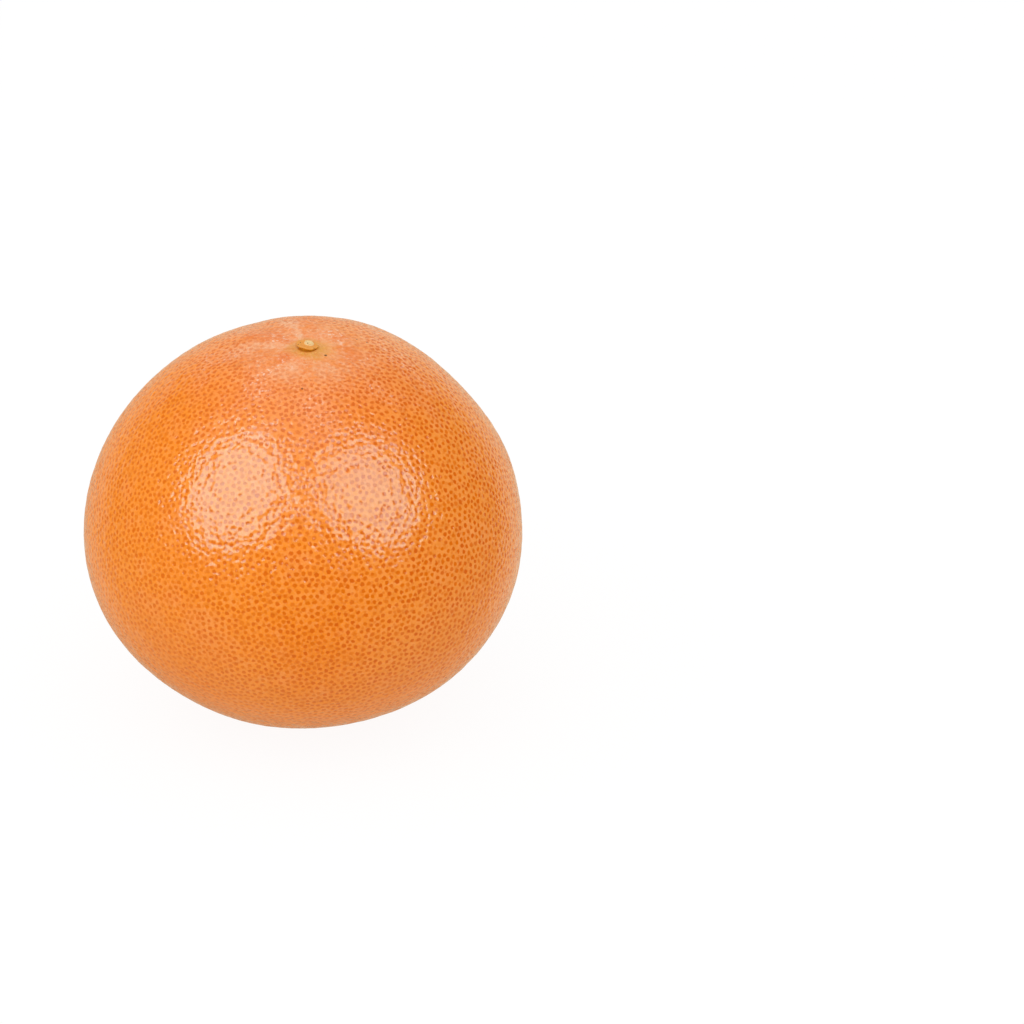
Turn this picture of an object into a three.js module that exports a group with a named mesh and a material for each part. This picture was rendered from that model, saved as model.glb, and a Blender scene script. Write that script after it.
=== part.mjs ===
// A whole grapefruit-type pomelo, picked, resting on its blossom end with the stem button on top.
// Millimetres, +Z up. The origin is the middle of the flat spot that the fruit rests on.
// The view that the shape was measured from looks along +Y, so +X is its right-hand side.

import * as THREE from 'three';
import { mergeVertices } from 'three/addons/utils/BufferGeometryUtils.js';

// Driving dimensions of the fruit
const EQUATOR_RADIUS = 55;
const CROWN_RISE = 54.2; // equator up to the stem end, before its dip
const BASE_DROP = 47.1; // equator down to the blossom end, before it flattens
const CROWN_FULLNESS = 1.9; // superellipse exponents of the two halves: 2 is an ellipse
const BASE_FULLNESS = 2.03;
const REST_RADIUS = 11; // flat spot where the weight presses the rind against the table
const REST_ROUNDING = 0.3; // height over which the flat spot eases into the side
const REST_MARGIN = 11; // ring round the flat spot over which the swells die away
const DIP_DEPTH = 1.8; // hollow round the stem button
const DIP_RADIUS = 11;
const STEM = new THREE.Vector2(1.6, -3); // the stem end grew a little off the axis
const STEM_REACH = 30; // distance over which the rows of the crown return to the axis

// Driving dimensions of the stem button and the seat that it grows from
const BUTTON_LIP_RADIUS = 2.75;
const BUTTON_FOOT_RADIUS = 2.2;
const BUTTON_GAP = 0.3; // crease between the button and the rind
const SEAT_DEPTH = 1.2;
const LIP_THICKNESS = 0.55;
const LIP_SLANT = 0.09; // rise of the lip per millimetre towards -X, where it stands highest
const LIP_LOBES = 5; // the calyx had five sepals
const LOBE_SHARE = 0.045; // how far each lobe stands out, as a share of the radius
const STUB_RADIUS = 1.15; // torn end of the fruit stalk
const STUB_RISE = 0.3;
const DISH_RADIUS = 1.7; // lowest ring of the button's top, between the lip and the stub

// Mesh fineness
const FRUIT_SEGMENTS = 72;
const CROWN_ROWS = 26;
const CROWN_ROW_EASE = 1.5; // above 1 crowds the rows towards the stem end
const BASE_ROWS = 18;
const REST_ROWS = 2;
const BUTTON_SEGMENTS = 30;
const BUTTON_CURVE_STEPS = 4;

// Finishes
const RIND = { color: 0xf08a2e, roughness: 0.42, metalness: 0 };
const DRY_CALYX = { color: 0xd9a55a, roughness: 0.75, metalness: 0 };

// Furrows that run out from the button over the shoulder. Azimuth is counted from +X towards +Y.
const FURROW_START = 3; // distance from the axis where a furrow begins to sink in
const FURROW_FULL = 8; // and where it is at its full depth
const FURROW_WIDTH = 1.6; // half-width at the axis, and how it widens with the distance from it
const FURROW_SPREAD = 0.2;
const FURROWS = [
  { azimuth: 40, depth: 0.4, reach: 22 },
  { azimuth: 82, depth: 0.35, reach: 20 },
  { azimuth: 125, depth: 0.8, reach: 34 },
  { azimuth: 176, depth: 0.75, reach: 28 },
  { azimuth: 244, depth: 0.55, reach: 24 },
  { azimuth: 300, depth: 0.35, reach: 20 },
  { azimuth: 347, depth: 0.5, reach: 24 },
];

// Broad swells and flats that make the fruit a little uneven. Spread is the angle from the fruit's
// centre over which one fades.
const SWELLS = [
  { azimuth: 50, latitude: 58, height: 0.5, spread: 16 },
  { azimuth: 2, latitude: 0, height: -0.4, spread: 15 },
  { azimuth: 10, latitude: 19, height: 0.3, spread: 12 },
  { azimuth: 20, latitude: 36, height: -0.3, spread: 14 },
  { azimuth: 207, latitude: -43, height: -0.4, spread: 18 },
  { azimuth: 240, latitude: -60, height: 0.3, spread: 14 },
  { azimuth: 330, latitude: -42, height: 0.25, spread: 18 },
  { azimuth: 268, latitude: 12, height: -0.35, spread: 17 },
  { azimuth: 232, latitude: 24, height: 0.3, spread: 18 },
  { azimuth: 305, latitude: 22, height: 0.3, spread: 18 },
  { azimuth: 110, latitude: -8, height: -0.45, spread: 24 },
  { azimuth: 70, latitude: -22, height: 0.35, spread: 22 },
  { azimuth: 155, latitude: 15, height: 0.35, spread: 22 },
];

// Worked out from the driving dimensions
const SEAT_RADIUS = BUTTON_FOOT_RADIUS + BUTTON_GAP;
const restShare = REST_RADIUS / EQUATOR_RADIUS;
const restDrop = BASE_DROP * (1 - restShare ** BASE_FULLNESS) ** (1 / BASE_FULLNESS);
const EQUATOR_Z = restDrop - REST_ROUNDING; // the easing lifts the flat spot by its own height
const CENTRE = new THREE.Vector3(0, 0, EQUATOR_Z);
const SEAT_FLOOR = crownHeight(STEM.length()) - dipAt(SEAT_RADIUS) - SEAT_DEPTH;

const { degToRad, smoothstep } = THREE.MathUtils;

// A point of the smooth outline: latitude in radians from the equator, +90 degrees at the stem end.
function outlinePoint(latitude) {
  const above = latitude > 0;
  const fullness = above ? CROWN_FULLNESS : BASE_FULLNESS;
  const rise = above ? CROWN_RISE : -BASE_DROP;
  const radius = EQUATOR_RADIUS * Math.cos(latitude) ** (2 / fullness);
  return new THREE.Vector2(radius, EQUATOR_Z + rise * Math.abs(Math.sin(latitude)) ** (2 / fullness));
}

// Height of the smooth crown at a distance from the axis.
function crownHeight(radius) {
  const share = Math.min(radius / EQUATOR_RADIUS, 1) ** CROWN_FULLNESS;
  return EQUATOR_Z + CROWN_RISE * (1 - share) ** (1 / CROWN_FULLNESS);
}

// Depth of the hollow at a distance from the stem.
function dipAt(stemDistance) {
  return DIP_DEPTH * Math.exp(-((stemDistance / DIP_RADIUS) ** 2));
}

// Lifts whatever would pass below the table onto it, easing in over REST_ROUNDING on each side.
function restOnTable(z) {
  if (z <= -REST_ROUNDING) return 0;
  if (z >= REST_ROUNDING) return z;
  return (z + REST_ROUNDING) ** 2 / (4 * REST_ROUNDING);
}

// How far the furrows pull a point in towards the middle of the fruit.
function furrowDepth(radius, azimuth) {
  const width = FURROW_WIDTH + FURROW_SPREAD * radius;
  let depth = 0;
  for (const furrow of FURROWS) {
    const turn = azimuth - degToRad(furrow.azimuth);
    const across = Math.atan2(Math.sin(turn), Math.cos(turn)) * radius;
    const begins = smoothstep(radius, FURROW_START, FURROW_FULL);
    const ends = 1 - smoothstep(radius, furrow.reach / 2, furrow.reach);
    depth += furrow.depth * begins * ends * Math.exp(-((across / width) ** 2));
  }
  return depth;
}

function swellDirection({ azimuth, latitude }) {
  const level = Math.cos(degToRad(latitude));
  return new THREE.Vector3(
    level * Math.cos(degToRad(azimuth)),
    level * Math.sin(degToRad(azimuth)),
    Math.sin(degToRad(latitude)),
  );
}

// How far the swells push a point out, from its direction as seen from the middle of the fruit.
// They die away towards the flat spot, which stays flat.
function swellHeight(direction, radius) {
  let height = 0;
  for (const swell of SWELLS) {
    const angle = direction.angleTo(swellDirection(swell));
    height += swell.height * Math.exp(-((angle / degToRad(swell.spread)) ** 2));
  }
  return direction.z > 0 ? height : height * smoothstep(radius, REST_RADIUS, REST_RADIUS + REST_MARGIN);
}

// Turns a lathe's own +Y axis to +Z, and leaves only positions, with shared vertices merged.
function standUp(geometry) {
  geometry.rotateX(Math.PI / 2);
  geometry.deleteAttribute('normal');
  geometry.deleteAttribute('uv');
  return mergeVertices(geometry);
}

// The outline from the blossom end to the bottom of the button's seat, as a lathe takes it.
function fruitProfile() {
  const points = [];
  for (let i = 0; i < REST_ROWS; i++) {
    points.push(new THREE.Vector2((REST_RADIUS * i) / REST_ROWS, -REST_ROUNDING));
  }
  const restLatitude = -Math.acos(restShare ** (BASE_FULLNESS / 2));
  for (let i = 0; i < BASE_ROWS; i++) {
    points.push(outlinePoint(restLatitude * (1 - i / BASE_ROWS)));
  }
  const seatLatitude = Math.acos((SEAT_RADIUS / EQUATOR_RADIUS) ** (CROWN_FULLNESS / 2));
  for (let i = CROWN_ROWS; i > 0; i--) {
    points.push(outlinePoint(Math.PI / 2 - rowAngle(i / CROWN_ROWS, Math.PI / 2 - seatLatitude)));
  }
  points.push(
    new THREE.Vector2(SEAT_RADIUS, SEAT_FLOOR + SEAT_DEPTH),
    new THREE.Vector2(SEAT_RADIUS, SEAT_FLOOR),
    new THREE.Vector2(0, SEAT_FLOOR),
  );
  return points;
}

// Angle from the stem end of a crown row: share 0 is the rim of the seat and 1 is the equator.
function rowAngle(share, rimAngle) {
  return rimAngle + (Math.PI / 2 - rimAngle) * share ** CROWN_ROW_EASE;
}

function isSeat(radius, onCrown) {
  return onCrown && radius < SEAT_RADIUS + BUTTON_GAP;
}

// Slides a row of the crown sideways, so that the innermost ones go round the stem, and sets it on
// the crown again, with the dip. The level rim and floor of the seat only slide.
function moveToStem(point, radius) {
  const share = 1 - smoothstep(radius, DIP_RADIUS, STEM_REACH);
  point.x += STEM.x * share;
  point.y += STEM.y * share;
  if (!isSeat(radius, true)) point.z = crownHeight(Math.hypot(point.x, point.y)) - dipAt(radius);
}

function fruitGeometry() {
  const geometry = standUp(new THREE.LatheGeometry(fruitProfile(), FRUIT_SEGMENTS));
  const position = geometry.getAttribute('position');
  const point = new THREE.Vector3();
  const direction = new THREE.Vector3();
  for (let i = 0; i < position.count; i++) {
    point.fromBufferAttribute(position, i);
    const onCrown = point.z > EQUATOR_Z;
    const radius = Math.hypot(point.x, point.y); // from the stem on the crown, or else from the axis
    const furrow = onCrown ? furrowDepth(radius, Math.atan2(point.y, point.x)) : 0;
    if (onCrown) moveToStem(point, radius);
    direction.subVectors(point, CENTRE).normalize();
    if (!isSeat(radius, onCrown)) {
      point.addScaledVector(direction, swellHeight(direction, radius) - furrow);
    }
    position.setXYZ(i, point.x, point.y, restOnTable(point.z));
  }
  return geometry;
}

// Half-section of the button, from the middle of its foot round the lip to the middle of its stub.
function buttonProfile() {
  const lipBottom = SEAT_DEPTH + BUTTON_GAP;
  const lipTop = lipBottom + LIP_THICKNESS;
  const lipMiddle = (lipBottom + lipTop) / 2;
  const corner = LIP_THICKNESS / 2;
  const lip = new THREE.Path()
    .moveTo(0, 0)
    .lineTo(BUTTON_FOOT_RADIUS, 0)
    .lineTo(BUTTON_FOOT_RADIUS, lipBottom)
    .lineTo(BUTTON_LIP_RADIUS - corner, lipBottom)
    .absarc(BUTTON_LIP_RADIUS - corner, lipMiddle, corner, -Math.PI / 2, Math.PI / 2, false)
    .quadraticCurveTo(DISH_RADIUS, lipMiddle, STUB_RADIUS, lipMiddle)
    .quadraticCurveTo(STUB_RADIUS, lipTop + STUB_RISE, 0, lipTop + STUB_RISE);
  return lip.getPoints(BUTTON_CURVE_STEPS);
}

function buttonGeometry() {
  const geometry = standUp(new THREE.LatheGeometry(buttonProfile(), BUTTON_SEGMENTS));
  const position = geometry.getAttribute('position');
  const lipBottom = SEAT_DEPTH + BUTTON_GAP;
  const lipMiddle = lipBottom + LIP_THICKNESS / 2;
  for (let i = 0; i < position.count; i++) {
    const x = position.getX(i);
    const y = position.getY(i);
    const z = position.getZ(i);
    const radius = Math.hypot(x, y);
    const onLip = smoothstep(radius, BUTTON_FOOT_RADIUS, BUTTON_LIP_RADIUS);
    const lobe = 1 + LOBE_SHARE * onLip * Math.cos(LIP_LOBES * Math.atan2(y, x));
    const slant = -LIP_SLANT * x * smoothstep(z, lipBottom, lipMiddle);
    position.setXYZ(i, x * lobe, y * lobe, z + slant);
  }
  return geometry;
}

function makePiece(name, geometry, finish) {
  geometry.computeVertexNormals();
  const mesh = new THREE.Mesh(geometry, new THREE.MeshStandardMaterial(finish));
  mesh.name = name;
  return mesh;
}

const pomelo = new THREE.Group();

const fruit = makePiece('fruit', fruitGeometry(), RIND);
pomelo.add(fruit);

const stemButton = makePiece('stem_button', buttonGeometry(), DRY_CALYX);
stemButton.position.set(STEM.x, STEM.y, SEAT_FLOOR);
pomelo.add(stemButton);

export default pomelo;
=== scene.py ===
import math
import random

import bmesh
import bpy
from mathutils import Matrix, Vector


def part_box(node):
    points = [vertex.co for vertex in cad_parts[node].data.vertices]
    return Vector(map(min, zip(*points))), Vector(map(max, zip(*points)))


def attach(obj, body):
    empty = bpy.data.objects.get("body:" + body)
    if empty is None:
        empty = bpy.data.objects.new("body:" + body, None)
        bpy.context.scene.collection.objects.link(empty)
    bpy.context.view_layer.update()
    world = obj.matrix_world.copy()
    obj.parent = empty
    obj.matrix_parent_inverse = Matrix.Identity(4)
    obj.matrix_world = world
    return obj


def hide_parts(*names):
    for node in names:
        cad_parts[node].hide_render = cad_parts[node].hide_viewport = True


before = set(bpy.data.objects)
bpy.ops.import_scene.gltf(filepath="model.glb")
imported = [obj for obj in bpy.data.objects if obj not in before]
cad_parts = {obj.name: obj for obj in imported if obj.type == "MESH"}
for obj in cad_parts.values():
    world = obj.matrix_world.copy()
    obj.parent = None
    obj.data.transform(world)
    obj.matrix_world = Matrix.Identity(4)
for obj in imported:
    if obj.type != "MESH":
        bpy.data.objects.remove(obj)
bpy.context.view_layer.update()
mm = 0.001  # the script's sizes are in millimetres and Blender's in metres
print("frame loaded:", ", ".join(sorted(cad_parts)))


# Small helpers for node trees

def plug(tree, source, socket):  # a socket is linked, and anything else is set as the value
    if isinstance(source, bpy.types.NodeSocket):
        tree.links.new(source, socket)
    else:
        socket.default_value = source


def addNode(tree, kind, sockets=None, **settings):
    node = tree.nodes.new(kind)
    for name, value in settings.items():
        setattr(node, name, value)
    for name, source in (sockets or {}).items():
        plug(tree, source, node.inputs[name])
    return node


def calc(tree, operation, *values):
    node = addNode(tree, "ShaderNodeMath", operation=operation)
    for socket, value in zip(node.inputs, values):
        plug(tree, value, socket)
    return node.outputs[0]


def product(tree, first, *others):
    for other in others:
        first = calc(tree, "MULTIPLY", first, other)
    return first


def vecCalc(tree, operation, *values):
    node = addNode(tree, "ShaderNodeVectorMath", operation=operation)
    sockets = [s for s in node.inputs if s.name != "Scale"]
    if operation == "SCALE":
        sockets = [node.inputs[0], node.inputs["Scale"]]
    for socket, value in zip(sockets, values):
        plug(tree, value, socket)
    return node.outputs["Value" if operation in ("LENGTH", "DISTANCE", "DOT_PRODUCT") else "Vector"]


def axesOf(tree, vector):
    return addNode(tree, "ShaderNodeSeparateXYZ", {"Vector": vector}).outputs


def ramp(tree, value, low, high, start=0.0, end=1.0):  # eased from start at low to end at high
    sockets = {"Value": value, "From Min": low, "From Max": high, "To Min": start, "To Max": end}
    return addNode(tree, "ShaderNodeMapRange", sockets, interpolation_type="SMOOTHSTEP").outputs["Result"]


def fade(tree, distance, near, far, share):  # share at near and nothing at far, both in millimetres
    return ramp(tree, distance, near * mm, far * mm, share, 0.0)


def noise(tree, vector, size, detail=2.0, roughness=0.5):  # size is that of one lump, in millimetres
    sockets = {"Vector": vector, "Scale": 1 / (size * mm), "Detail": detail, "Roughness": roughness}
    return addNode(tree, "ShaderNodeTexNoise", sockets).outputs[0]


def spots(tree, vector, size, detail, roughness, low, high):  # noise that is 0 up to low and 1 from high on
    return ramp(tree, noise(tree, vector, size, detail, roughness), low, high)


def cellDistance(tree, vector, size):  # from the middle of the nearest of random cells of that size
    sockets = {"Vector": vector, "Scale": 1 / (size * mm)}
    return addNode(tree, "ShaderNodeTexVoronoi", sockets).outputs["Distance"]


def attribute(tree, name, output="Fac"):
    return addNode(tree, "ShaderNodeAttribute", attribute_name=name).outputs[output]


def mixColour(tree, share, first, second):  # first where the share is 0 and second where it is 1
    node = addNode(tree, "ShaderNodeMix", data_type="RGBA", clamp_factor=True)
    factor, colourA, colourB = (node.inputs[slot] for slot in (0, 6, 7))  # the node's sockets for colours
    plug(tree, share, factor)
    plug(tree, first, colourA)
    plug(tree, second, colourB)
    return node.outputs[2]


def rgb(red, green, blue):  # a colour as a screen shows it, 0 to 255, made linear
    def linear(part):
        part /= 255
        return part / 12.92 if part <= 0.04045 else ((part + 0.055) / 1.055) ** 2.4
    return (linear(red), linear(green), linear(blue), 1.0)


def newMaterial(name):
    material = bpy.data.materials.new(name)
    material.use_nodes = True
    tree = material.node_tree
    return material, tree, tree.nodes["Principled BSDF"].inputs


def addBump(tree, height, strength, distance):
    sockets = {"Height": height, "Strength": strength, "Distance": distance * mm}
    return addNode(tree, "ShaderNodeBump", sockets).outputs["Normal"]


# Small helpers for objects

def newObject(name, data):
    obj = bpy.data.objects.new(name, data)
    bpy.context.scene.collection.objects.link(obj)
    return obj


def bakeMesh(obj):  # the mesh that the object's modifiers make
    graph = bpy.context.evaluated_depsgraph_get()
    made = obj.evaluated_get(graph)
    mesh = bpy.data.meshes.new_from_object(made, preserve_all_data_layers=True, depsgraph=graph)
    obj.modifiers.clear()
    return mesh


def subdivide(obj, levels):
    finer = obj.modifiers.new("finer", "SUBSURF")
    finer.levels = levels
    finer.render_levels = levels
    obj.data = bakeMesh(obj)


# Where things are, from the frame

equatorHeight = 45.9  # of the fruit's widest part
middle = Vector((0, 0, equatorHeight * mm))  # on the fruit's axis
buttonLow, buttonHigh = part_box("stem_button")
stem = (buttonLow + buttonHigh) / 2  # the foot of the button
stem.z = buttonLow.z


# Camera

cameraSet = {
    "distance": 1400,  # from the middle of the fruit
    "elevation": 28.0,  # degrees above the table
    "yaw": 2.41,  # the fruit stands left of the middle of the picture
    "pitch": 27.83,
    "lens": 196.8,
    "sensor": 36,  # its width, to which the lens belongs
    "clipEnd": 20000,
}

lookAngle = math.radians(cameraSet["elevation"])
towardCamera = Vector((0, -math.cos(lookAngle), math.sin(lookAngle)))
viewRight = Vector((1, 0, 0))
viewUp = towardCamera.cross(viewRight)


def makeCamera():
    data = bpy.data.cameras.new("camera")
    data.lens = cameraSet["lens"]
    data.sensor_width = cameraSet["sensor"]
    data.clip_end = cameraSet["clipEnd"] * mm
    camera = newObject("camera", data)
    camera.location = middle + towardCamera * cameraSet["distance"] * mm
    camera.rotation_euler = (math.radians(90 - cameraSet["pitch"]), 0, math.radians(-cameraSet["yaw"]))
    bpy.context.scene.camera = camera


makeCamera()


# Light: round softboxes in front, an even white room and a pale floor

softboxes = {  # toward is right, up and near, as the camera sees it
    "shine_left": {"toward": (-0.545, 0.385, 0.76), "across": 710, "power": 10.8},
    "shine_right": {"toward": (0.51, 0.35, 0.78), "across": 680, "power": 8.7},
    "shine_top": {"toward": (-0.12, 0.86, 0.50), "across": 640, "power": 1.1},
    "glow_left": {"toward": (-0.80, 0.30, 0.52), "across": 720, "power": 0.62},
    "glow_front": {"toward": (0.0, 0.35, 0.94), "across": 720, "power": 0.8},
}
softboxTint = {  # by the first word of the name
    "shine": (0.15, 0.95, 1.10),  # seen only in the gloss
    "glow": (1.0, 1.0, 1.0),  # seen only in the matt shading
}
softboxReach = 700  # from the middle of the fruit

room = {
    "glow": 0.86,  # strength of the white walls on matt surfaces
    "glowRise": 0.02,  # so much more overhead, and so much less below
    "shineBehind": 0.84,  # as the gloss reflects the white table behind the fruit
    "shineFront": 0.10,  # and the darker side where the camera stands
    "frontEdge": (-0.70, -0.50),  # where one goes over into the other, 1 being towards the camera
    "shineBelow": 0.72,  # share of it under the fruit
    "belowEdge": (-0.80, -0.50),  # 1 being straight up
    "shineLeft": 0.80,  # and its share on the two sides
    "shineRight": 1.15,
    "sideEdge": (-0.6, 0.6),  # 1 being to the right
    "shineColour": (1.0, 0.86, 0.64, 1),
    "tableColour": (1.0, 0.64, 0.40, 1),  # warmed by the fruit's own light on the table
    "backdrop": 1.0,  # as the camera sees the walls
    "floorColour": (0.09, 0.09, 0.09, 1),
    "floorGlow": 0.92,
    "floorSide": 12000,
}
white = (1, 1, 1, 1)


def addSoftbox(name, box):
    kind = name.split("_")[0]
    data = bpy.data.lights.new(name, "AREA")
    data.shape = "DISK"
    data.size = box["across"] * mm
    data.energy = box["power"]
    data.color = softboxTint[kind]
    right, up, near = box["toward"]
    direction = (viewRight * right + viewUp * up + towardCamera * near).normalized()
    light = newObject(name, data)
    light.location = middle + direction * softboxReach * mm
    light.rotation_euler = direction.to_track_quat("Z", "Y").to_euler()
    light.visible_camera = False
    light.visible_diffuse = kind == "glow"
    light.visible_glossy = kind == "shine"


def makeWalls():
    world = bpy.data.worlds.new("walls")
    bpy.context.scene.world = world
    world.use_nodes = True
    tree = world.node_tree
    background = tree.nodes["Background"].inputs
    ray = addNode(tree, "ShaderNodeLightPath").outputs
    heading = addNode(tree, "ShaderNodeTexCoord").outputs["Generated"]
    facing = vecCalc(tree, "DOT_PRODUCT", heading, tuple(towardCamera))
    axes = axesOf(tree, heading)

    overTable = ramp(tree, axes["Z"], *room["belowEdge"])
    colour = mixColour(tree, overTable, room["tableColour"], room["shineColour"])
    colour = mixColour(tree, ray["Is Glossy Ray"], white, colour)
    plug(tree, colour, background["Color"])

    behind = ramp(tree, facing, *room["frontEdge"], room["shineBehind"], room["shineFront"])
    below = ramp(tree, axes["Z"], *room["belowEdge"], room["shineBelow"], 1.0)
    sides = ramp(tree, axes["X"], *room["sideEdge"], room["shineLeft"], room["shineRight"])
    shine = product(tree, behind, below, sides)
    strength = calc(tree, "MULTIPLY_ADD", axes["Z"], room["glowRise"], room["glow"])
    for kind, share in (("Is Glossy Ray", shine), ("Is Camera Ray", room["backdrop"])):
        change = calc(tree, "SUBTRACT", share, strength)
        strength = calc(tree, "MULTIPLY_ADD", ray[kind], change, strength)
    plug(tree, strength, background["Strength"])


def makeFloor():
    half = room["floorSide"] * mm / 2
    mesh = bpy.data.meshes.new("floor")
    corners = [(-half, -half, 0), (half, -half, 0), (half, half, 0), (-half, half, 0)]
    mesh.from_pydata(corners, [], [(0, 1, 2, 3)])
    material, tree, shader = newMaterial("floor")
    shader["Base Color"].default_value = room["floorColour"]
    shader["Specular IOR Level"].default_value = 0.0
    shader["Emission Color"].default_value = white
    shader["Emission Strength"].default_value = room["floorGlow"]
    mesh.materials.append(material)
    floor = newObject("floor", mesh)
    floor.visible_diffuse = False  # the fruit is lit as in a white tent, from below too
    floor.visible_glossy = False


for name, box in softboxes.items():
    addSoftbox(name, box)
makeWalls()
makeFloor()
bpy.context.scene.view_settings.view_transform = "Standard"
print("camera, lights and floor made")


# Rind: its colour and gloss

rindLook = {
    "skin": rgb(254, 145, 42),
    "skinDeep": rgb(252, 138, 32),
    "skinLitLeft": rgb(254, 151, 52),  # painted light: paler skin on the left, where the lamps fall brighter
    "skinShadedRight": rgb(246, 151, 64),  # painted shade: browner skin on the right, which the lamps leave darker
    "mottle": rgb(255, 168, 96),
    "shade": rgb(206, 100, 22),
    "floorBounceLight": rgb(252, 160, 102),  # painted light: paler, pinker skin towards the bottom and lower sides, from the pale floor's bounce and reflection
    "gland": rgb(232, 114, 0),
    "glandRed": rgb(221, 97, 0),
    "pink": rgb(252, 160, 118),
    # paler and deeper crown skin, partly painted light and shade of its relief
    "furrow": rgb(252, 190, 146),
    "lobe": rgb(242, 122, 46),
    "crownGland": rgb(226, 108, 36),
    "ochre": rgb(230, 164, 66),
    "peach": rgb(252, 182, 116),
    # painted shadow in the crease under the button's lip
    "crease": rgb(196, 116, 4),
    "scar": rgb(190, 142, 88),
    # pale wax scuffs, partly painted glints on the bumps at the stem end
    "scuffAndGlint": rgb(255, 212, 182),
    "speck": rgb(92, 44, 6),
    # Noise: the size of a spot, its detail and roughness, and the levels where it begins and is full
    "patchSpots": (26, 3.0, 0.5, 0.40, 0.65),
    "grainSpots": (0.5, 3.0, 0.5, 0.45, 0.68),
    "crownSpots": (1.2, 4.0, 0.65, 0.42, 0.62),
    "veinSpots": (0.9, 4.0, 0.7, 0.52, 0.62),
    "scuffGlintSpots": (0.8, 3.0, 0.5, 0.57, 0.66),
    "markGaps": (1.0, 4.0, 0.7, 0.35, 0.62),
    "glossSpots": (3, 3.0, 0.5, 0.3, 0.7),
    "lumps": (9, 3.0),  # clouds in the blush, the ochre and the scuffs
    "weather": (2.4, 3.0, 0.6),  # lighter and darker flecks
    "bumps": (1.7, 1.0),
    # Fades: where a layer is full and where it ends, and its full share
    "litLeftFade": (-52, 0, 0.7),  # across the fruit, for the painted light on the left and the painted shade on the right
    "shadedRightFade": (48, 0, 0.7),
    "floorBounceFade": (-4, 52, 0.5),  # up the fruit
    "blushFade": (15, 46, 0.34),  # away from the stem, as are the next ones
    "crownFade": (6, 26, 0.5),
    "veinFade": (8, 36, 0.6),
    "streakFade": (6, 30, 0.7),
    "ochreFade": (2.5, 7, 1.0),
    "crownGlandFade": (14, 44, 1.0),
    "scuffGlintFade": (10, 40, 0.8),
    "scuffGlintStart": (9, 4, 1.0),
    "creaseFade": (2.2, 2.75, 0.9),
    "dullFade": (8, 26, 0.25),  # the rougher skin at the stem end
    "scarFade": (1.2, 2.6, 0.9),  # away from the blossom end
    "crownMarksAndShading": [  # colour, bearing, half width in degrees, from and to in millimetres, strength; the furrows and lobes are partly painted light and shade of the crown's relief
        ("furrow", 168, 13, 4, 24, 0.80),
        ("furrow", 106, 10, 5, 24, 0.90),
        ("furrow", 70, 18, 7, 18, 0.20),
        ("furrow", 243, 24, 8, 18, 0.60),
        ("furrow", 292, 20, 8, 18, 0.45),
        ("lobe", 142, 17, 6, 22, 0.85),
        ("lobe", 216, 16, 5, 11, 0.90),
        ("lobe", 350, 24, 7, 15, 0.55),
        ("lobe", 36, 8, 8, 15, 0.55),
        ("peach", 0, 70, 3, 9, 0.60),
        ("peach", 38, 50, 12, 36, 0.40),
        ("peach", 138, 40, 18, 38, 0.20),
    ],
    "markDrift": 5,  # how far a mark strays, and over what length
    "driftSize": 5,
    "specks": [  # bearing, distance from the stem, radius
        (325, 5.4, 0.46),
        (20, 15.6, 0.25),
        (26, 13.6, 0.25),
        (265, 17.0, 0.30),
    ],
    "streakFan": 9.0,  # fine streaks: how close they are round the stem, and their length
    "streakLength": 2.0,
    "ochreWander": 6,  # how far the edge of the ochre strays
    "dotWobble": 0.6,  # size of the wobbles in a dot's outline
    "dotRagged": (8, 34, 1.6, 0.7),  # the dots' outline strays more near the stem than away from it
    "dotEdges": (0.8, 1.3, 1.6),  # of a dot's size: where it is full, where it ends, and its dimple's edge
    "smallDots": 1.15,  # the spacing of the faint dots between the glands
    "bumpDepth": 0.05,
}


def placesOnRind(tree):  # what the layers are placed by
    place = addNode(tree, "ShaderNodeTexCoord").outputs["Object"]
    axes = axesOf(tree, place)
    return {
        "place": place,
        "x": axes["X"],
        "z": axes["Z"],
        "acrossStem": vecCalc(tree, "MULTIPLY", vecCalc(tree, "SUBTRACT", place, tuple(stem)), (1, 1, 0)),
        "fromStem": vecCalc(tree, "DISTANCE", place, tuple(stem)),
        "lumps": noise(tree, place, *rindLook["lumps"]),
        "weather": noise(tree, place, *rindLook["weather"]),
    }


def skinColour(tree, at):  # the skin between the glands
    look = rindLook
    place = at["place"]
    skin = mixColour(tree, spots(tree, place, *look["patchSpots"]), look["skin"], look["skinDeep"])
    # painted light on the left and painted shade on the right, by how the lamps fall
    skin = mixColour(tree, fade(tree, at["x"], *look["litLeftFade"]), skin, look["skinLitLeft"])
    skin = mixColour(tree, fade(tree, at["x"], *look["shadedRightFade"]), skin, look["skinShadedRight"])
    clouds = ramp(tree, at["lumps"], 0.35, 0.7, -0.12, 0.12)
    blush = calc(tree, "ADD", fade(tree, at["fromStem"], *look["blushFade"]), clouds)
    skin = mixColour(tree, blush, skin, look["pink"])
    grain = product(tree, spots(tree, place, *look["grainSpots"]), 0.35)
    skin = mixColour(tree, grain, skin, look["mottle"])
    return mixColour(tree, ramp(tree, at["weather"], 0.52, 0.7, 0.0, 0.3), skin, look["mottle"])


def aroundStem(bearing, distance):  # a place on the crown, as seen from above
    turn = math.radians(bearing)
    return Vector((math.cos(turn), math.sin(turn), 0)) * distance


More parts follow.
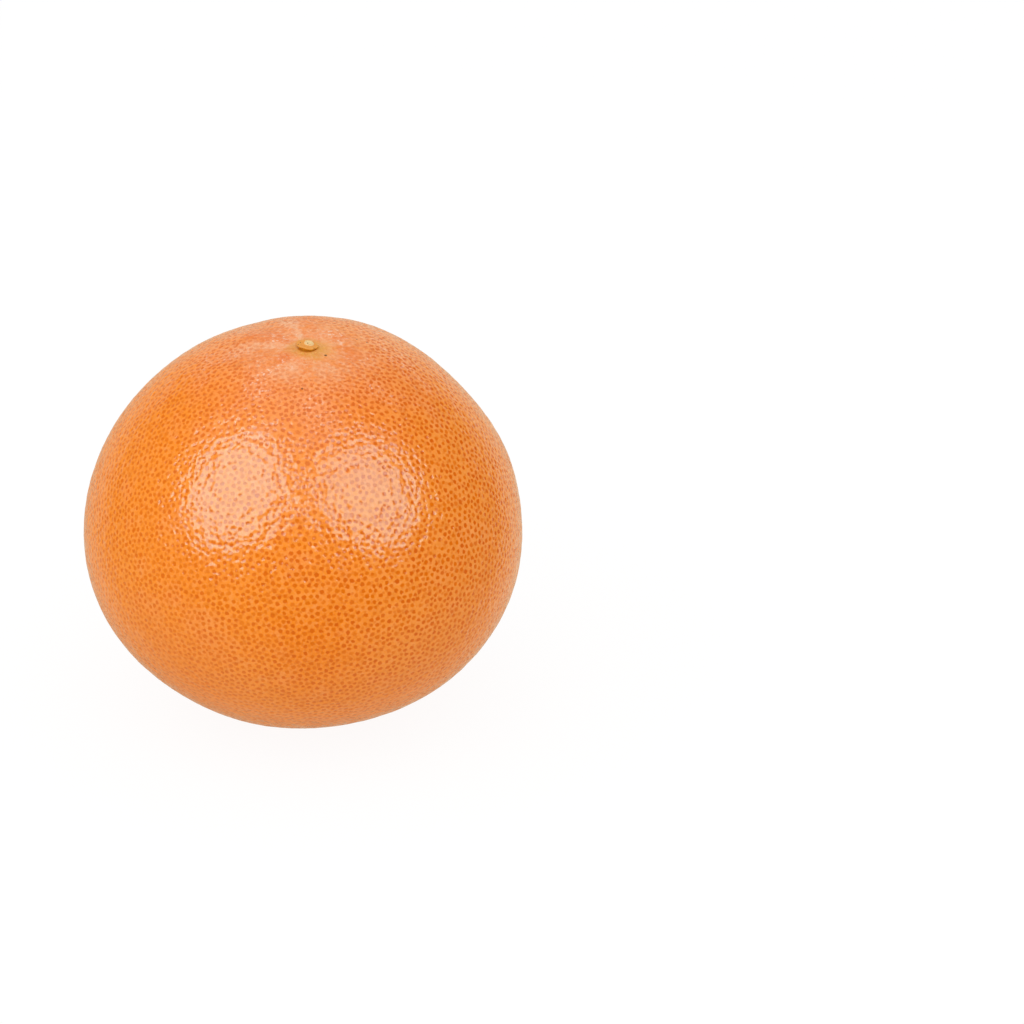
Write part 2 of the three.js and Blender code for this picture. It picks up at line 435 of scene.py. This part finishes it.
def addCrownMarksAndShading(tree, at, colour):  # pale furrows and deeper lobes that run out from the button, partly their own skin colour and partly painted light and shade of the crown's ridges and dips
    look = rindLook
    gaps = calc(tree, "MULTIPLY_ADD", spots(tree, at["place"], *look["markGaps"]), 0.75, 0.25)
    sockets = {"Vector": at["place"], "Scale": 1 / (look["driftSize"] * mm), "Detail": 3.0}
    drift = addNode(tree, "ShaderNodeTexNoise", sockets).outputs["Color"]
    drift = vecCalc(tree, "SUBTRACT", drift, (0.5, 0.5, 0.5))
    across = vecCalc(tree, "ADD", at["acrossStem"], vecCalc(tree, "SCALE", drift, look["markDrift"] * mm))
    across = vecCalc(tree, "MULTIPLY", across, (1, 1, 0))
    away = vecCalc(tree, "LENGTH", across)
    heading = vecCalc(tree, "NORMALIZE", across)
    for name, bearing, halfWidth, start, end, strength in look["crownMarksAndShading"]:
        along = vecCalc(tree, "DOT_PRODUCT", heading, tuple(aroundStem(bearing, 1)))
        width = ramp(tree, along, math.cos(math.radians(halfWidth)), 1.0)
        begins = fade(tree, away, start + 1, start - 2, 1.0)
        ends = fade(tree, away, (start + end) / 2, end, strength)
        colour = mixColour(tree, product(tree, width, gaps, begins, ends), colour, look[name])
    return colour


def addCrown(tree, at, skin):  # the mottled, streaked skin at the stem end, ochre round the button, with partly painted light and shade on its furrows and lobes
    look = rindLook
    fromStem = at["fromStem"]
    for layer, name in (("crown", "furrow"), ("vein", "lobe")):
        share = spots(tree, at["place"], *look[layer + "Spots"])
        share = product(tree, share, fade(tree, fromStem, *look[layer + "Fade"]))
        skin = mixColour(tree, share, skin, look[name])
    skin = addCrownMarksAndShading(tree, at, skin)

    fan = vecCalc(tree, "SCALE", vecCalc(tree, "NORMALIZE", at["acrossStem"]), look["streakFan"])
    steps = calc(tree, "DIVIDE", fromStem, look["streakLength"] * mm)
    along = addNode(tree, "ShaderNodeCombineXYZ", {"Z": steps}).outputs[0]
    streaks = {"Vector": vecCalc(tree, "ADD", fan, along), "Scale": 1.0, "Detail": 5.0, "Roughness": 0.75}
    streaks = addNode(tree, "ShaderNodeTexNoise", streaks).outputs[0]
    share = product(tree, ramp(tree, streaks, 0.52, 0.66), fade(tree, fromStem, *look["streakFade"]))
    skin = mixColour(tree, share, skin, look["furrow"])

    wander = look["ochreWander"] * mm
    spread = calc(tree, "ADD", fromStem, calc(tree, "MULTIPLY_ADD", at["lumps"], wander, -wander / 2))
    halo = fade(tree, spread, *look["ochreFade"])
    halo = product(tree, halo, ramp(tree, streaks, 0.38, 0.62, 1.0, 0.5))
    return mixColour(tree, halo, skin, look["ochre"])


def glandMarks(tree, at):  # each gland's dot, 1 inside and 0 outside, its dimple's height, and its chance
    look = rindLook
    place = at["place"]
    size = attribute(tree, "glandSize")
    chance = attribute(tree, "glandChance")
    near, far, ragged, calm = look["dotRagged"]
    ragged = ramp(tree, at["fromStem"], near * mm, far * mm, ragged * mm, calm * mm)
    wobble = product(tree, calc(tree, "SUBTRACT", noise(tree, place, look["dotWobble"]), 0.5), ragged)
    away = vecCalc(tree, "DISTANCE", place, attribute(tree, "glandCentre", "Vector"))
    away = calc(tree, "ADD", away, wobble)
    full, edge, dimpleEdge = [product(tree, size, share) for share in look["dotEdges"]]
    dot = product(tree, ramp(tree, away, full, edge, 1.0, 0.0), ramp(tree, chance, 0.0, 0.4, 0.75, 1.0))
    small = ramp(tree, cellDistance(tree, place, look["smallDots"]), 0.26, 0.42, 0.45, 0.0)
    dot = calc(tree, "MAXIMUM", dot, small)
    deep = ramp(tree, chance, 0.5, 1.0, -0.35, -1.1)
    dimple = product(tree, ramp(tree, away, 0.0, dimpleEdge, 1.0, 0.0), deep)
    return dot, dimple, chance


def addGlands(tree, at, skin):
    look = rindLook
    dot, dimple, chance = glandMarks(tree, at)
    redness = calc(tree, "FRACT", product(tree, chance, 7.0))
    gland = mixColour(tree, redness, look["gland"], look["glandRed"])
    gland = mixColour(tree, fade(tree, at["fromStem"], *look["crownGlandFade"]), gland, look["crownGland"])
    nearStem = ramp(tree, at["fromStem"], 5 * mm, 22 * mm, 0.1, 1.0)  # fainter there, and on the left
    leftward = ramp(tree, at["x"], -50 * mm, 30 * mm, 0.72, 1.0)
    return mixColour(tree, product(tree, dot, nearStem, leftward), skin, gland), dimple


def addWearAndPaintedLight(tree, at, colour):  # what lies over the glands too: flecks, scar, scuffs and specks, with painted floor light towards the bottom, painted shadow in the crease and painted glints
    look = rindLook
    colour = mixColour(tree, ramp(tree, at["weather"], 0.3, 0.5, 0.16, 0.0), colour, look["shade"])
    # painted light from the pale floor: paler and pinker towards the bottom and the lower sides
    low = calc(tree, "MULTIPLY_ADD", calc(tree, "ABSOLUTE", at["x"]), -0.3, at["z"])
    colour = mixColour(tree, fade(tree, low, *look["floorBounceFade"]), colour, look["floorBounceLight"])

    # painted shadow: a dark ring in the crease under the button's lip, on the upper half
    crease = fade(tree, vecCalc(tree, "LENGTH", at["acrossStem"]), *look["creaseFade"])
    upperHalf = ramp(tree, at["z"], 60 * mm, 80 * mm)
    colour = mixColour(tree, product(tree, crease, upperHalf), colour, look["crease"])
    fromBlossom = vecCalc(tree, "LENGTH", at["place"])
    colour = mixColour(tree, fade(tree, fromBlossom, *look["scarFade"]), colour, look["scar"])

    # pale wax scuffs, partly painted glints on bump tops
    scuffsAndGlints = product(
        tree,
        spots(tree, at["place"], *look["scuffGlintSpots"]),
        ramp(tree, at["lumps"], 0.47, 0.6),
        fade(tree, at["fromStem"], *look["scuffGlintFade"]),
        fade(tree, at["fromStem"], *look["scuffGlintStart"]),
    )
    colour = mixColour(tree, scuffsAndGlints, colour, look["scuffAndGlint"])
    for bearing, distance, radius in look["specks"]:
        away = vecCalc(tree, "DISTANCE", at["acrossStem"], tuple(aroundStem(bearing, distance * mm)))
        colour = mixColour(tree, fade(tree, away, radius / 2, radius, 0.9), colour, look["speck"])
    return colour


def makeRindMaterial():
    look = rindLook
    material, tree, shader = newMaterial("citrus_rind")
    at = placesOnRind(tree)
    colour = addCrown(tree, at, skinColour(tree, at))
    colour, dimple = addGlands(tree, at, colour)
    plug(tree, addWearAndPaintedLight(tree, at, colour), shader["Base Color"])
    shader["Specular IOR Level"].default_value = 0.3
    rough = calc(tree, "MULTIPLY_ADD", spots(tree, at["place"], *look["glossSpots"]), 0.05, 0.10)
    rough = calc(tree, "ADD", rough, fade(tree, at["fromStem"], *look["dullFade"]))
    plug(tree, rough, shader["Roughness"])
    relief = calc(tree, "MULTIPLY_ADD", noise(tree, at["place"], *look["bumps"]), 6.0, dimple)
    plug(tree, addBump(tree, relief, 1.0, look["bumpDepth"]), shader["Normal"])
    return material


# Rind: the skin with its oil glands, most with a shallow dimple

skinSize = {  # each is an input of the node tree, and what ends in Share is a plain number
    "glandSpacing": 1.30,  # least distance between two glands
    "crownSpacing": 0.80,  # and between the finer cells round the button
    "crownRadius": 7.0,
    "crowdShare": 14.0,  # points tried for each square of that side
    "mergeDistance": 0.3,
    "ballRadius": 50,  # of the ball that the net of glands is drawn on
    "dimpleDepth": 0.045,
    "shallowShare": 0.5,  # of that depth: the shallowest and the deepest
    "deepShare": 1.3,
    "dimpleShare": 0.55,  # floor of a dimple, as a share of its cell
    "dotRadius": 0.50,  # of a gland's dark dot
    "dotSpreadShare": 0.12,  # how far it may be off
    "dotShare": 0.36,  # the most that it may be of its cell's side
    "flatShare": 0.25,  # glands that lie level with the skin
    "pebbleSize": 2.6,
    "pebbleHeight": 0.26,
    "collarHeight": 0.12,  # the rind swells a little round the button
    "collarRadius": 3.4,
    "collarTopShare": 0.6,
    "calmRadius": 14,  # the dimples grow shallow from here to the collar
    "calmShare": 0.1,
    "seed": 11,
}
relaxSteps = 2  # how often the cells are evened out
baseLevels = 2  # subdivisions of the frame's fruit


def fruitBase():  # the frame's fruit as one smooth mesh, with the button's seat closed
    seatRadius = (buttonHigh.y - buttonLow.y) / 2
    form = bmesh.new()
    form.from_mesh(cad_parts["fruit"].data)
    bmesh.ops.remove_doubles(form, verts=form.verts, dist=0.001 * mm)
    inSeat = {v for v in form.verts if v.co.z > middle.z and (v.co - stem).xy.length < seatRadius}
    seat = [f for f in form.faces if all(v in inSeat for v in f.verts)]
    bmesh.ops.delete(form, geom=seat, context="FACES")
    rim = [e for e in form.edges if e.is_boundary]
    bmesh.ops.contextual_create(form, geom=rim)
    bmesh.ops.join_triangles(form, faces=form.faces, angle_face_threshold=0.5, angle_shape_threshold=3.0)
    bmesh.ops.recalc_face_normals(form, faces=form.faces)
    mesh = bpy.data.meshes.new("fruit_base")
    form.to_mesh(mesh)
    form.free()
    base = newObject("fruit_skin", mesh)
    subdivide(base, baseLevels)
    return base


def moved(tree, geometry, **sockets):
    return addNode(tree, "GeometryNodeSetPosition", {"Geometry": geometry, **sockets}).outputs["Geometry"]


def stored(tree, geometry, name, value, kind, domain):
    node = addNode(tree, "GeometryNodeStoreNamedAttribute", data_type=kind, domain=domain)
    for socket, source in {"Geometry": geometry, "Name": name, "Value": value}.items():
        plug(tree, source, node.inputs[socket])
    return node.outputs["Geometry"]


def randomValue(tree, seed, low=0.0, high=1.0):
    node = addNode(tree, "FunctionNodeRandomValue", {"Seed": seed}, data_type="FLOAT")
    for slot, limit in ((2, low), (3, high)):  # the node's sockets for plain numbers
        plug(tree, limit, node.inputs[slot])
    return node.outputs[1]


def declareInputs(tree):  # the tree's named inputs, and the identifiers they are set by
    face = tree.interface
    kinds = {name: "NodeSocketFloat" for name in skinSize}
    kinds.update(seed="NodeSocketInt", middle="NodeSocketVector", stem="NodeSocketVector")
    kinds["material"] = "NodeSocketMaterial"
    face.new_socket("Geometry", in_out="INPUT", socket_type="NodeSocketGeometry")
    sockets = {}
    for name, kind in kinds.items():
        sockets[name] = face.new_socket(name, in_out="INPUT", socket_type=kind).identifier
    face.new_socket("Geometry", in_out="OUTPUT", socket_type="NodeSocketGeometry")
    return sockets


def placesOnSkin(tree, given):
    place = addNode(tree, "GeometryNodeInputPosition").outputs[0]
    acrossStem = vecCalc(tree, "MULTIPLY", vecCalc(tree, "SUBTRACT", place, given["stem"]), (1, 1, 0))
    middleHeight = axesOf(tree, given["middle"])["Z"]
    return {
        "place": place,
        "outward": vecCalc(tree, "NORMALIZE", vecCalc(tree, "SUBTRACT", place, given["middle"])),
        "fromStem": vecCalc(tree, "LENGTH", acrossStem),
        "onCrown": calc(tree, "GREATER_THAN", axesOf(tree, place)["Z"], middleHeight),
    }


def scatterGlands(tree, given, at):  # random points that keep their distance, closer round the button
    crown = calc(tree, "LESS_THAN", at["fromStem"], given["crownRadius"])
    crown = product(tree, at["onCrown"], crown)
    rest = calc(tree, "SUBTRACT", 1.0, crown)
    points = addNode(tree, "GeometryNodeJoinGeometry")
    for step, (region, side) in enumerate(((rest, "glandSpacing"), (crown, "crownSpacing"))):
        node = addNode(tree, "GeometryNodeDistributePointsOnFaces", distribute_method="POISSON")
        crowd = calc(tree, "DIVIDE", given["crowdShare"], calc(tree, "POWER", given[side], 2.0))
        sockets = {"Mesh": given["Geometry"], "Selection": region, "Distance Min": given[side]}
        sockets.update({"Density Max": crowd, "Seed": calc(tree, "ADD", given["seed"], float(step))})
        for name, source in sockets.items():
            plug(tree, source, node.inputs[name])
        tree.links.new(node.outputs["Points"], points.inputs[0])
    return points.outputs[0]


def onBase(tree, given, at):  # where a ray from the middle meets the base
    sockets = {"Target Geometry": given["Geometry"], "Source Position": given["middle"]}
    sockets.update({"Ray Direction": at["outward"], "Ray Length": 1.0})
    return addNode(tree, "GeometryNodeRaycast", sockets).outputs["Hit Position"]


def netOf(tree, given, at, points):  # the points as a closed net round the fruit
    reach = vecCalc(tree, "SCALE", at["outward"], given["ballRadius"])
    ball = moved(tree, points, Position=vecCalc(tree, "ADD", given["middle"], reach))
    sockets = {"Geometry": ball, "Distance": given["mergeDistance"]}
    ball = addNode(tree, "GeometryNodeMergeByDistance", sockets).outputs[0]
    return addNode(tree, "GeometryNodeConvexHull", {"Geometry": ball}).outputs[0]


def cellsOf(tree, given, at, net):  # one cell on the skin round each point
    named = stored(tree, net, "glandCentre", onBase(tree, given, at), "FLOAT_VECTOR", "POINT")
    cells = addNode(tree, "GeometryNodeDualMesh", {"Mesh": named}).outputs[0]
    return moved(tree, cells, Position=onBase(tree, given, at))


def glandCells(tree, given, at):  # the evened cells, each with its gland's chance and size
    net = netOf(tree, given, at, scatterGlands(tree, given, at))
    for step in range(relaxSteps):
        cells = cellsOf(tree, given, at, net)
        centres = addNode(tree, "GeometryNodeMeshToPoints", {"Mesh": cells}, mode="FACES").outputs[0]
        net = netOf(tree, given, at, centres)
    cells = cellsOf(tree, given, at, net)
    cells = stored(tree, cells, "glandChance", randomValue(tree, given["seed"]), "FLOAT", "FACE")
    least = calc(tree, "SUBTRACT", 1.0, given["dotSpreadShare"])
    most = calc(tree, "ADD", 1.0, given["dotSpreadShare"])
    spread = randomValue(tree, calc(tree, "ADD", given["seed"], 2.0), least, most)
    side = calc(tree, "SQRT", addNode(tree, "GeometryNodeInputMeshFaceArea").outputs[0])
    size = product(tree, given["dotRadius"], spread)
    size = calc(tree, "MINIMUM", size, product(tree, side, given["dotShare"]))
    return stored(tree, cells, "glandSize", size, "FLOAT", "FACE")


def sinkDimples(tree, given, at, cells):
    named = {"Name": "glandChance"}
    chance = addNode(tree, "GeometryNodeInputNamedAttribute", named, data_type="FLOAT").outputs[0]
    hollow = calc(tree, "GREATER_THAN", chance, given["flatShare"])
    sockets = {"Mesh": cells, "Selection": hollow, "Offset Scale": 0.0, "Individual": True}
    dimples = addNode(tree, "GeometryNodeExtrudeMesh", sockets).outputs
    floor = dimples["Top"]
    sockets = {"Geometry": dimples["Mesh"], "Selection": floor, "Scale": given["dimpleShare"]}
    shrunk = addNode(tree, "GeometryNodeScaleElements", sockets).outputs[0]
    share = ramp(tree, chance, 0.0, 1.0, given["shallowShare"], given["deepShare"])
    calm = ramp(tree, at["fromStem"], given["collarRadius"], given["calmRadius"], given["calmShare"], 1.0)
    drop = product(tree, given["dimpleDepth"], share, calm, -1.0)
    return moved(tree, shrunk, Selection=floor, Offset=vecCalc(tree, "SCALE", at["outward"], drop))


def raisePebbles(tree, given, at, skin):  # the uneven skin and the collar, no lower than the table
    sockets = {"Vector": at["place"], "Scale": calc(tree, "DIVIDE", 1.0, given["pebbleSize"]), "Detail": 1.0}
    lumps = addNode(tree, "ShaderNodeTexNoise", sockets).outputs[0]
    pebbles = product(tree, calc(tree, "SUBTRACT", lumps, 0.5), given["pebbleHeight"])
    top = product(tree, given["collarRadius"], given["collarTopShare"])
    collar = ramp(tree, at["fromStem"], top, given["collarRadius"], 1.0, 0.0)
    collar = product(tree, collar, at["onCrown"], given["collarHeight"])
    lift = calc(tree, "ADD", pebbles, collar)
    skin = moved(tree, skin, Offset=vecCalc(tree, "SCALE", at["outward"], lift))
    return moved(tree, skin, Position=vecCalc(tree, "MAXIMUM", at["place"], (-1.0, -1.0, 0.0)))


def makeSkinTree():
    tree = bpy.data.node_groups.new("gland_skin", "GeometryNodeTree")
    sockets = declareInputs(tree)
    given = addNode(tree, "NodeGroupInput").outputs
    at = placesOnSkin(tree, given)
    skin = glandCells(tree, given, at)
    skin = sinkDimples(tree, given, at, skin)
    skin = raisePebbles(tree, given, at, skin)
    skin = addNode(tree, "GeometryNodeSetShadeSmooth", {"Geometry": skin}).outputs[0]
    skin = addNode(tree, "GeometryNodeRealizeInstances", {"Geometry": skin}).outputs[0]
    dressed = {"Geometry": skin, "Material": given["material"]}
    skin = addNode(tree, "GeometryNodeSetMaterial", dressed).outputs[0]
    tree.links.new(skin, addNode(tree, "NodeGroupOutput").inputs[0])
    return tree, sockets


def makeSkin():
    skin = fruitBase()
    tree, sockets = makeSkinTree()
    glands = skin.modifiers.new("glands", "NODES")
    glands.node_group = tree
    for name, value in skinSize.items():
        plain = name == "seed" or name.endswith("Share")
        glands[sockets[name]] = value if plain else value * mm
    glands[sockets["middle"]] = tuple(middle)
    glands[sockets["stem"]] = tuple(stem)
    glands[sockets["material"]] = makeRindMaterial()
    skin.data = bakeMesh(skin)
    skin.data.name = "fruit_skin"
    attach(skin, "root")
    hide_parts("fruit")
    skin.data.calc_loop_triangles()
    print("skin made:", len(skin.data.polygons), "faces,", len(skin.data.loop_triangles), "triangles")


makeSkin()


# Stem button: the dry calyx with the torn stalk

buttonParts = ("foot", "lip", "dish", "stub")
buttonShape = {  # rings of the half-section: distance from its axis and height over its foot
    "foot": [(2.0, 0.2), (2.1, 1.2)],
    "lip": [(2.4, 1.62), (2.64, 1.82), (2.72, 1.96)],
    "dish": [(2.62, 2.10), (2.36, 2.18), (2.0, 2.10), (1.6, 2.03), (1.30, 2.00)],
    "stub": [(1.12, 2.18), (1.06, 2.42), (0.96, 2.64), (0.62, 2.72), (0.25, 2.66)],
    "around": 60,
    "lobes": 5,  # the calyx had five sepals
    "lobeShare": 0.045,
    "lobesFrom": 2.2,  # the rings that have them are wider than this
    "depth": 0.92,  # it is shorter from front to back
    "slant": 0.17,  # rise towards the left, where the lip stands highest
    "stubShift": (0.45, 0.35),  # the stalk sits right of the middle and behind it
    "shiftFrom": 2.36,  # the ring that stays, and how much narrower one is that has the whole shift
    "shiftOver": 1.2,
    "ripples": [(7, 0.07, 1), (13, 0.03, 0)],  # round the stalk: number, share of its radius, start
    "tear": 0.16,  # unevenness of the torn end, which begins at this height and grows over the next
    "tearFrom": 2.1,
    "tearOver": 0.5,
    "levels": 2,
    "seed": 5,
}

calyxLook = {
    # painted shadow on the button's foot, under its lip
    "crease": rgb(204, 116, 0),
    "lip": rgb(220, 138, 20),
    "dish": rgb(236, 158, 74),
    "stub": rgb(238, 206, 150),
    "speck": rgb(110, 66, 26),
    "grainSize": 0.35,
    "fibreSize": 0.16,
    "speckSpacing": 1.1,
    "bumpDepth": 0.08,
}


def makeCalyxMaterial():
    look = calyxLook
    material, tree, shader = newMaterial("dry_calyx")
    place = addNode(tree, "ShaderNodeTexCoord").outputs["Object"]
    part = attribute(tree, "buttonPart")  # 0 at the foot, 1 on the lip, 2 in the dish and 3 on the stalk
    # the foot takes the painted shadow under the lip
    colour = mixColour(tree, ramp(tree, part, 0.1, 0.9), look["crease"], look["lip"])
    grain = calc(tree, "ADD", part, product(tree, noise(tree, place, look["grainSize"], 4.0), 0.4))
    colour = mixColour(tree, ramp(tree, grain, 1.3, 2.1), colour, look["dish"])
    colour = mixColour(tree, ramp(tree, part, 2.3, 2.9), colour, look["stub"])
    fibres = noise(tree, vecCalc(tree, "MULTIPLY", place, (1, 1, 0.25)), look["fibreSize"], 3.0)
    shade = product(tree, ramp(tree, fibres, 0.45, 0.7, 0.0, 0.5), ramp(tree, part, 1.2, 3.0, 0.5, 1.0))
    colour = mixColour(tree, shade, colour, look["lip"])
    specks = cellDistance(tree, place, look["speckSpacing"])
    colour = mixColour(tree, ramp(tree, specks, 0.10, 0.2, 0.9, 0.0), colour, look["speck"])
    plug(tree, colour, shader["Base Color"])
    shader["Roughness"].default_value = 0.7
    shader["Specular IOR Level"].default_value = 0.1
    plug(tree, addBump(tree, fibres, 0.5, look["bumpDepth"]), shader["Normal"])
    return material


def buttonPoint(part, radius, height, turn, dice):  # over the button's foot, in millimetres
    shape = buttonShape
    reach = radius
    rise = height
    if radius > shape["lobesFrom"]:
        reach *= 1 + shape["lobeShare"] * math.cos(shape["lobes"] * turn)
    if part == "stub":
        reach *= 1 + sum(share * math.sin(count * turn + start) for count, share, start in shape["ripples"])
        torn = min(1, (height - shape["tearFrom"]) / shape["tearOver"])
        rise += shape["tear"] * (dice.random() - 0.5) * torn
    x = reach * math.cos(turn)
    y = reach * math.sin(turn) * shape["depth"]
    if part != "foot":
        rise -= shape["slant"] * x
    inward = min(1.0, max(0.0, (shape["shiftFrom"] - radius) / shape["shiftOver"]))
    return Vector((x, y, rise)) + Vector((*shape["stubShift"], 0)) * inward


def ringFaces(rings, around):  # side faces from ring to ring, and a lid at each end
    faces = []
    last = (rings - 1) * around
    for low in range(0, last, around):
        high = low + around
        for step in range(around):
            after = (step + 1) % around
            faces.append((low + step, low + after, high + after, high + step))
    faces.append(tuple(reversed(range(around))))
    faces.append(tuple(range(last, last + around)))
    return faces


def makeButton():
    shape = buttonShape
    dice = random.Random(shape["seed"])
    around = shape["around"]
    rings = [(part, *ring) for part in buttonParts for ring in shape[part]]
    points, shares = [], []
    for part, radius, height in rings:
        for step in range(around):
            turn = 2 * math.pi * step / around
            points.append(stem + buttonPoint(part, radius, height, turn, dice) * mm)
            shares.append(float(buttonParts.index(part)))
    mesh = bpy.data.meshes.new("stem_button_dry")
    mesh.from_pydata(points, [], ringFaces(len(rings), around))
    mesh.attributes.new("buttonPart", "FLOAT", "POINT").data.foreach_set("value", shares)
    mesh.materials.append(makeCalyxMaterial())
    mesh.shade_smooth()
    button = newObject("stem_button_dry", mesh)
    subdivide(button, shape["levels"])
    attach(button, "root")
    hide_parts("stem_button")
    print("button made:", len(button.data.polygons), "faces")


makeButton()
